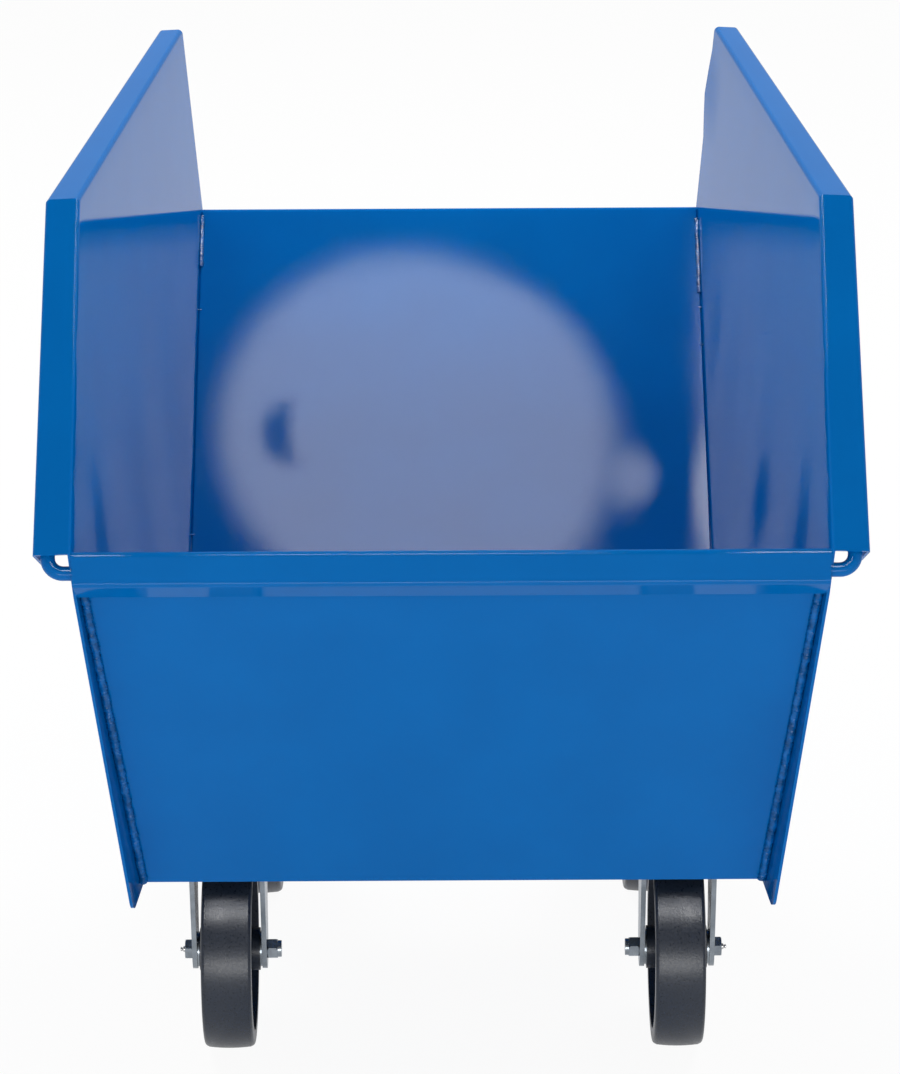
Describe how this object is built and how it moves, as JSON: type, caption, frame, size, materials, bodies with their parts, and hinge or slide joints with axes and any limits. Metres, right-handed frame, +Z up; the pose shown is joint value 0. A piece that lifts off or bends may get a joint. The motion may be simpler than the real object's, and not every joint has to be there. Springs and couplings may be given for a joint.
{
  "type": "portable waste tote",
  "caption": "Open-fronted welded steel hopper with flared, rimmed sides, a rolled pouring lip and a sloping back, on rigid front and swivelling rear casters.",
  "frame": {"origin": "on the ground, below the middle of the tote's bounding box", "axes": "+X to the tote's right, +Y towards its back, +Z up; the pouring lip faces -Y"},
  "size_m": [0.7954, 0.8098, 0.8999],
  "materials": {
    "hopper_paint": "glossy blue powder coat with fine orange peel",
    "zinc_plate": "zinc plated",
    "bright_steel": "ground",
    "wheel": "satin moulded resin"
  },
  "bodies": {
    "hopper": {"left_side_panel": "hopper_paint", "right_side_panel": "hopper_paint", "front_wall": "hopper_paint", "back_wall": "hopper_paint", "floor_plate": "hopper_paint", "lip_rod": "hopper_paint", "front_seam_welds": "hopper_paint", "back_seam_welds": "hopper_paint", "caster_plate_bolts": "zinc_plate", "caster_plate_nuts": "zinc_plate", "front_left_caster_plate": "zinc_plate", "front_right_caster_plate": "zinc_plate", "rear_left_caster_plate": "zinc_plate", "rear_right_caster_plate": "zinc_plate", "front_left_fork": "zinc_plate", "front_left_bushing": "bright_steel", "front_left_hub_washers": "zinc_plate", "front_left_axle_bolt": "zinc_plate", "front_left_axle_nut": "zinc_plate", "front_left_grease_fitting": "bright_steel", "rear_left_kingpin": "bright_steel", "rear_left_kingpin_nut": "zinc_plate", "rear_left_swivel_balls": "bright_steel", "front_right_fork": "zinc_plate", "front_right_bushing": "bright_steel", "front_right_hub_washers": "zinc_plate", "front_right_axle_bolt": "zinc_plate", "front_right_axle_nut": "zinc_plate", "front_right_grease_fitting": "bright_steel", "rear_right_kingpin": "bright_steel", "rear_right_kingpin_nut": "zinc_plate", "rear_right_swivel_balls": "bright_steel"},
    "front_left_roller": {"front_left_wheel": "wheel", "front_left_bearing": "bright_steel"},
    "rear_left_swivel": {"rear_left_yoke": "zinc_plate", "rear_left_bushing": "bright_steel", "rear_left_hub_washers": "zinc_plate", "rear_left_axle_bolt": "zinc_plate", "rear_left_axle_nut": "zinc_plate", "rear_left_grease_fitting": "bright_steel"},
    "rear_left_roller": {"rear_left_wheel": "wheel", "rear_left_bearing": "bright_steel"},
    "front_right_roller": {"front_right_wheel": "wheel", "front_right_bearing": "bright_steel"},
    "rear_right_swivel": {"rear_right_yoke": "zinc_plate", "rear_right_bushing": "bright_steel", "rear_right_hub_washers": "zinc_plate", "rear_right_axle_bolt": "zinc_plate", "rear_right_axle_nut": "zinc_plate", "rear_right_grease_fitting": "bright_steel"},
    "rear_right_roller": {"rear_right_wheel": "wheel", "rear_right_bearing": "bright_steel"}
  },
  "joints": [
    {"name": "front_left_roll", "type": "hinge", "parent": "hopper", "child": "front_left_roller", "pos_m": [-0.22979, -0.22512, 0.1016], "axis": [1, 0, 0], "continuous": true},
    {"name": "rear_left_turn", "type": "hinge", "parent": "hopper", "child": "rear_left_swivel", "pos_m": [-0.21371, 0.06889, 0.1016], "axis": [0, 0, 1], "continuous": true},
    {"name": "rear_left_roll", "type": "hinge", "parent": "rear_left_swivel", "child": "rear_left_roller", "pos_m": [-0.21371, 0.11589, 0.1016], "axis": [1, 0, 0], "continuous": true},
    {"name": "front_right_roll", "type": "hinge", "parent": "hopper", "child": "front_right_roller", "pos_m": [0.22979, -0.22512, 0.1016], "axis": [1, 0, 0], "continuous": true},
    {"name": "rear_right_turn", "type": "hinge", "parent": "hopper", "child": "rear_right_swivel", "pos_m": [0.21371, 0.06889, 0.1016], "axis": [0, 0, 1], "continuous": true},
    {"name": "rear_right_roll", "type": "hinge", "parent": "rear_right_swivel", "child": "rear_right_roller", "pos_m": [0.21371, 0.11589, 0.1016], "axis": [1, 0, 0], "continuous": true}
  ]
}
